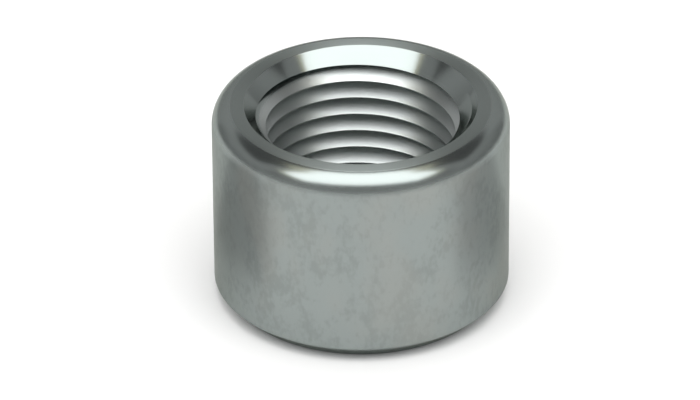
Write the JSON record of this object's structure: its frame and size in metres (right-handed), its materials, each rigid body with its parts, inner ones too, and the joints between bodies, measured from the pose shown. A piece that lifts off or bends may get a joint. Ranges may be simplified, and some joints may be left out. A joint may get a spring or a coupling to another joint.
{
  "type": "weld bung",
  "caption": "Round turned steel weld bung with a threaded bore, a wide countersunk mouth and a bevelled weld end.",
  "frame": {"origin": "centre of the flat weld end, on the bore axis", "axes": "+Z along the bore axis, from the weld end up to the countersunk mouth"},
  "size_m": [0.0286, 0.0286, 0.0203],
  "materials": {
    "turned_steel": "satin"
  },
  "bodies": {
    "root": {"bung_body": "turned_steel"}
  },
  "joints": []
}
